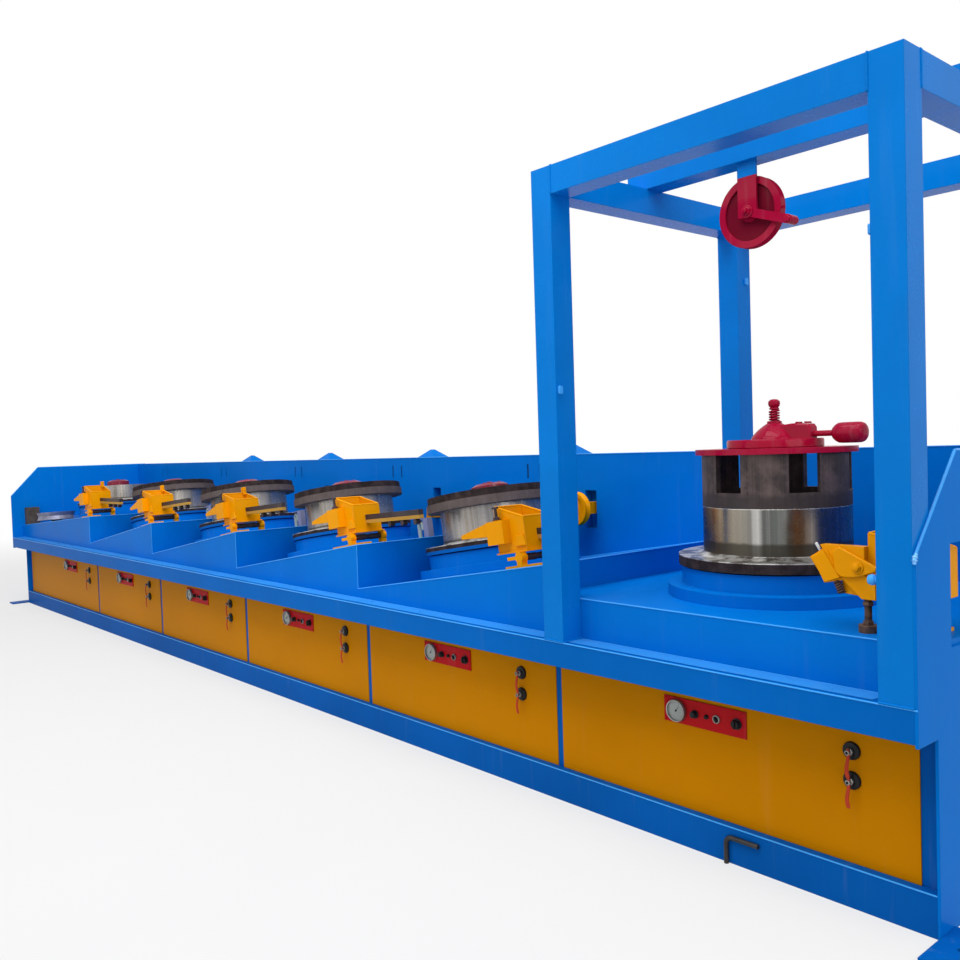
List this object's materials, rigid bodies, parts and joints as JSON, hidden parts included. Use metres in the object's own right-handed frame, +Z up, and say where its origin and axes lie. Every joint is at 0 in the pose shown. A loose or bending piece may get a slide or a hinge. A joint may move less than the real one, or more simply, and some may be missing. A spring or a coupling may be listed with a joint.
{
  "type": "straight line wire drawing machine",
  "caption": "Dry wire drawing machine: tilted drawing blocks along one bed, die boxes, panelled front and a gantry with an overhead pulley over the caged last block.",
  "frame": {"origin": "on the floor, under the middle of the machine's length and of its bed's depth", "axes": "+X along the machine towards the gantry end, +Y from the panelled front to the back wall, +Z up"},
  "size_m": [10.165, 1.91, 2.8],
  "materials": {
    "blue_paint": "gloss",
    "yellow_paint": "gloss",
    "red_paint": "gloss",
    "polished_steel": "polished",
    "oxidised_steel": "oxidised",
    "black_paint": "satin"
  },
  "bodies": {
    "frame": {"base_frame": "blue_paint", "foot_plates": "blue_paint", "machine_bed": "blue_paint", "panel_posts": "blue_paint", "front_panels": "yellow_paint", "rear_panels": "blue_paint", "top_rail": "blue_paint", "deck_1": "blue_paint", "deck_2": "blue_paint", "deck_3": "blue_paint", "deck_4": "blue_paint", "deck_5": "blue_paint", "deck_6": "blue_paint", "back_wall": "blue_paint", "end_plate_left": "blue_paint", "end_plate_right": "blue_paint", "gantry_columns": "blue_paint", "gantry_beams": "blue_paint", "pulley_beam": "blue_paint", "pulley_hanger": "red_paint", "block_stools": "blue_paint", "die_box_1": "yellow_paint", "die_box_2": "yellow_paint", "die_box_3": "yellow_paint", "die_box_4": "yellow_paint", "die_box_5": "yellow_paint", "die_box_6": "yellow_paint", "die_pedestals": "yellow_paint", "guide_bars": "black_paint", "guide_rails": "yellow_paint", "guide_stands": "polished_steel", "dancer_brackets": "yellow_paint", "control_plates": "red_paint", "valve_plates": "black_paint", "valve_levers": "red_paint", "motor_covers": "blue_paint", "entry_guide": "black_paint", "pedal_rod": "black_paint"},
    "block_1": {"block_1_drum": "polished_steel", "block_1_cage": "oxidised_steel", "block_1_cap": "red_paint"},
    "flyer": {"flyer": "red_paint"},
    "block_2": {"block_2_drum": "polished_steel", "block_2_cap": "red_paint"},
    "block_3": {"block_3_drum": "polished_steel", "block_3_cap": "red_paint"},
    "block_4": {"block_4_drum": "polished_steel", "block_4_cap": "red_paint"},
    "block_5": {"block_5_drum": "polished_steel", "block_5_cap": "red_paint"},
    "block_6": {"block_6_drum": "polished_steel", "block_6_cap": "red_paint"},
    "overhead_pulley": {"overhead_pulley": "red_paint"},
    "entry_wheel": {"entry_wheel": "polished_steel"},
    "dancer_wheel_2": {"dancer_wheel_2": "yellow_paint"},
    "dancer_wheel_3": {"dancer_wheel_3": "yellow_paint"},
    "dancer_wheel_4": {"dancer_wheel_4": "yellow_paint"},
    "dancer_wheel_5": {"dancer_wheel_5": "yellow_paint"},
    "dancer_wheel_6": {"dancer_wheel_6": "yellow_paint"}
  },
  "joints": [
    {"name": "block_1_spin", "type": "hinge", "parent": "frame", "child": "block_1", "pos_m": [4.0215, 0.006, 1.028], "axis": [0, 0, 1], "continuous": true},
    {"name": "flyer_spin", "type": "hinge", "parent": "block_1", "child": "flyer", "pos_m": [4.0215, 0.006, 1.515], "axis": [0, 0, 1], "continuous": true},
    {"name": "block_2_spin", "type": "hinge", "parent": "frame", "child": "block_2", "pos_m": [2.25316, 0.006, 0.98683], "axis": [-0.1612, 0, 0.9869], "continuous": true},
    {"name": "block_3_spin", "type": "hinge", "parent": "frame", "child": "block_3", "pos_m": [0.75316, 0.006, 0.98683], "axis": [-0.1612, 0, 0.9869], "continuous": true},
    {"name": "block_4_spin", "type": "hinge", "parent": "frame", "child": "block_4", "pos_m": [-0.74684, 0.006, 0.98683], "axis": [-0.1612, 0, 0.9869], "continuous": true},
    {"name": "block_5_spin", "type": "hinge", "parent": "frame", "child": "block_5", "pos_m": [-2.24684, 0.006, 0.98683], "axis": [-0.1612, 0, 0.9869], "continuous": true},
    {"name": "block_6_spin", "type": "hinge", "parent": "frame", "child": "block_6", "pos_m": [-3.73664, 0.006, 1.07672], "axis": [-0.0762, 0, 0.9971], "continuous": true},
    {"name": "pulley_spin", "type": "hinge", "parent": "frame", "child": "overhead_pulley", "pos_m": [3.9895, -0.079, 2.486], "axis": [0, 1, 0], "continuous": true},
    {"name": "entry_wheel_spin", "type": "hinge", "parent": "frame", "child": "entry_wheel", "pos_m": [-4.36453, -0.45, 0.97459], "axis": [-0.0762, 0, 0.9971], "continuous": true},
    {"name": "dancer_2_spin", "type": "hinge", "parent": "frame", "child": "dancer_wheel_2", "pos_m": [2.3475, 0.55, 1.174], "axis": [0, 1, 0], "continuous": true},
    {"name": "dancer_3_spin", "type": "hinge", "parent": "frame", "child": "dancer_wheel_3", "pos_m": [1.1925, 0.55, 1.1], "axis": [0, 1, 0], "continuous": true},
    {"name": "dancer_4_spin", "type": "hinge", "parent": "frame", "child": "dancer_wheel_4", "pos_m": [-0.3075, 0.55, 1.1], "axis": [0, 1, 0], "continuous": true},
    {"name": "dancer_5_spin", "type": "hinge", "parent": "frame", "child": "dancer_wheel_5", "pos_m": [-1.8075, 0.55, 1.1], "axis": [0, 1, 0], "continuous": true},
    {"name": "dancer_6_spin", "type": "hinge", "parent": "frame", "child": "dancer_wheel_6", "pos_m": [-3.3075, 0.55, 1.1], "axis": [0, 1, 0], "continuous": true}
  ]
}
